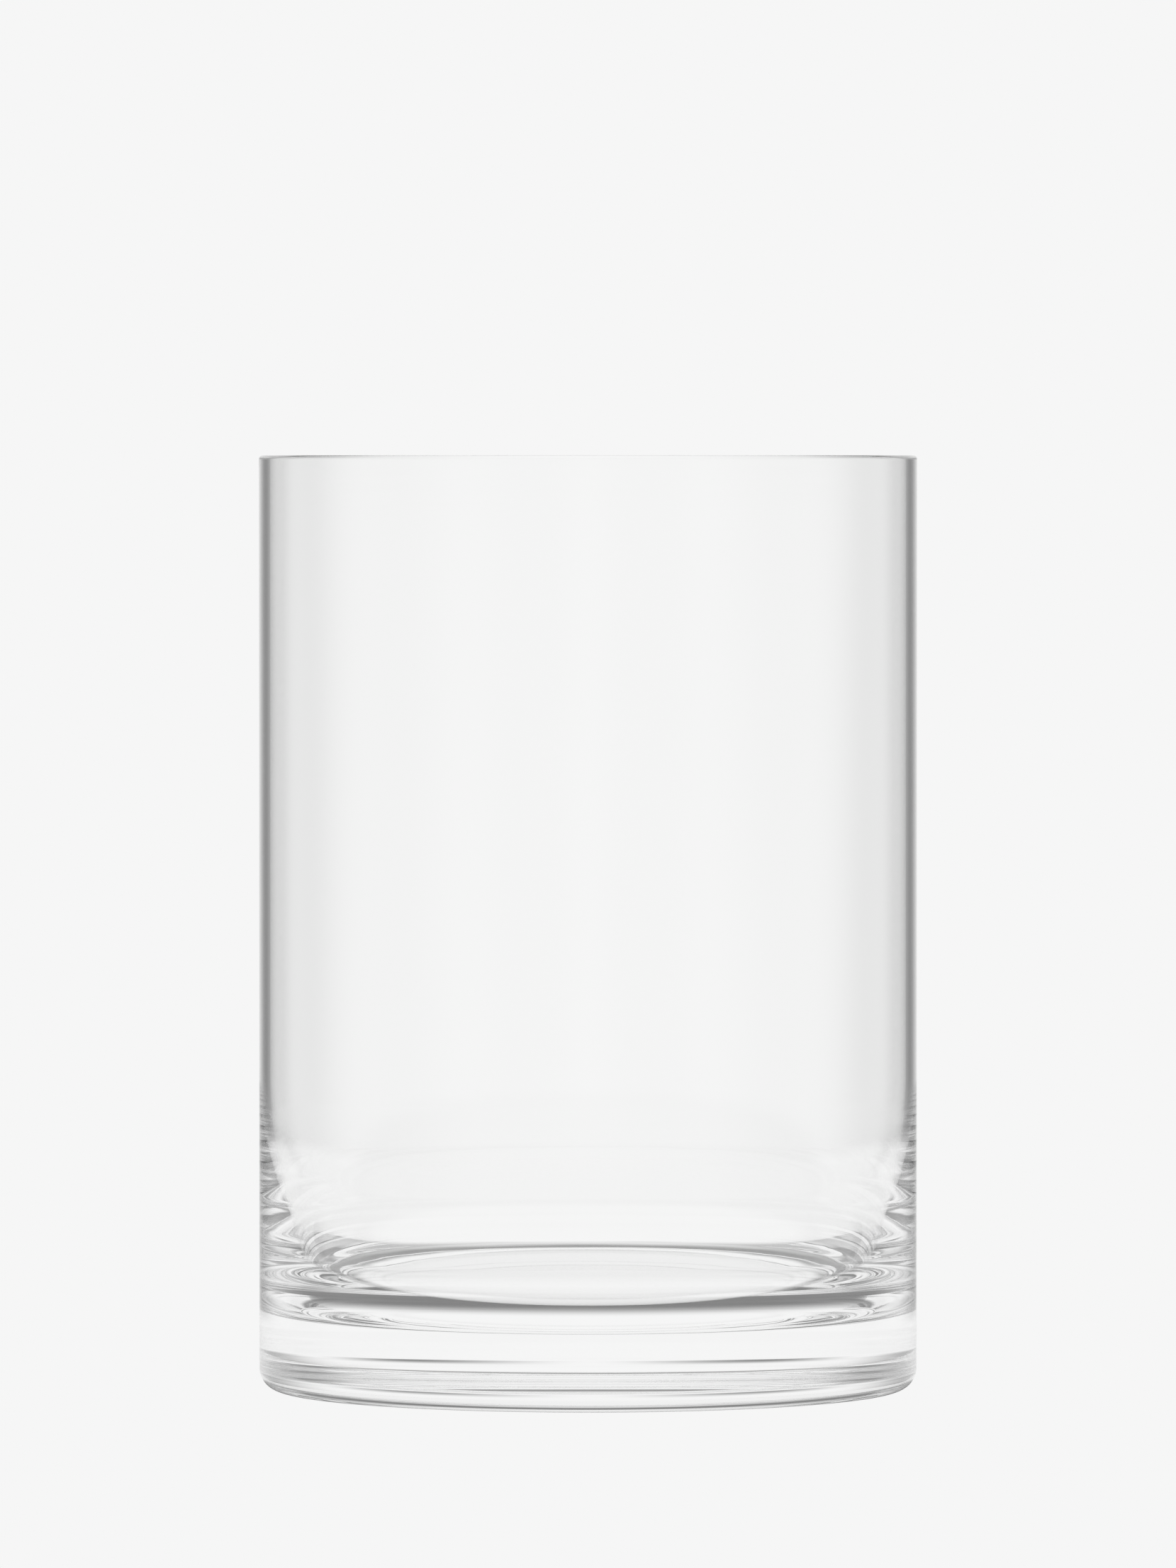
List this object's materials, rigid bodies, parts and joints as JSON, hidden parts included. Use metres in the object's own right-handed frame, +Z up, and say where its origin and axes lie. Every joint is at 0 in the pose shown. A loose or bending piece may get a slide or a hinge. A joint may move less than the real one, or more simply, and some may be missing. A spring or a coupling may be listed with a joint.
{
  "type": "glass cylinder vase",
  "caption": "Open clear glass cylinder vase with a straight wall, a rounded polished rim and a heavy solid base, for holding cut flowers in water.",
  "frame": {"origin": "centre of the flat underside, on the table plane", "axes": "+Z up along the axis of symmetry, towards the open rim; X and Y are any two directions across the round body"},
  "size_m": [0.169, 0.169, 0.24],
  "materials": {
    "clear_glass": "clear, fire-polished"
  },
  "bodies": {
    "root": {"glass_vase": "clear_glass"}
  },
  "joints": []
}
